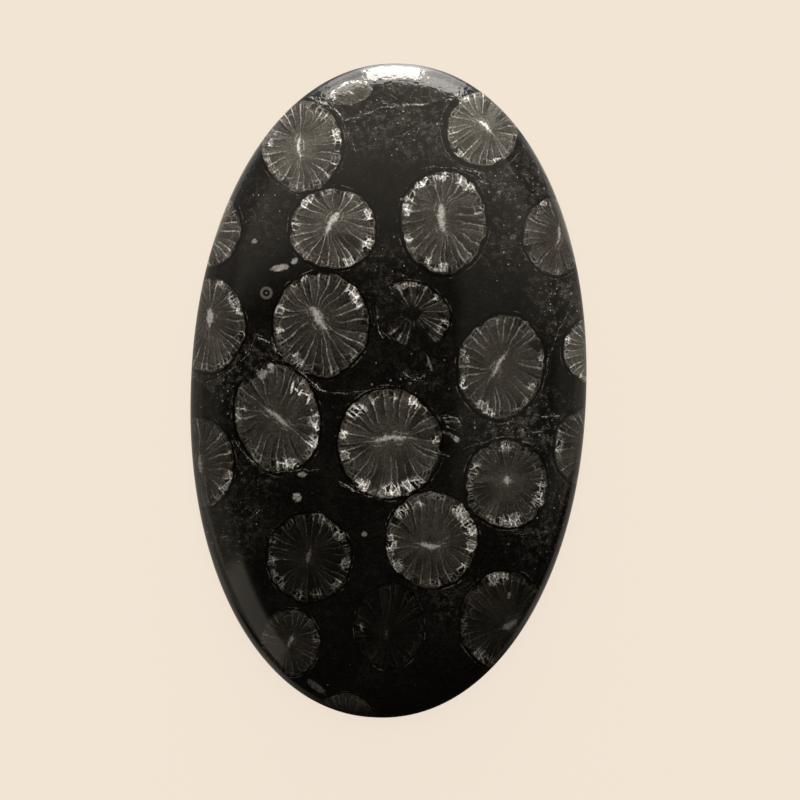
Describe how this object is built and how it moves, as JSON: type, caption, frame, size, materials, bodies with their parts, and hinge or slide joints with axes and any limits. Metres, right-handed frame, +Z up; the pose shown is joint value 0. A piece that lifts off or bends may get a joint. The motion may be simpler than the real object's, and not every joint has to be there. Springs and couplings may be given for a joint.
{
  "type": "polished fossil coral stone",
  "caption": "Polished oval stone of dark fossil coral, domed on top and flat on the back, with pale star-like coral sections. It lies on its back.",
  "frame": {"origin": "middle of the flat back", "axes": "+Y along the stone, +Z up from the back through the top of the dome"},
  "size_m": [0.0278, 0.046, 0.0064],
  "materials": {
    "fossil_coral": "polished, with pale grey coral sections in near-black limestone"
  },
  "bodies": {
    "root": {"coral_stone": "fossil_coral"}
  },
  "joints": []
}
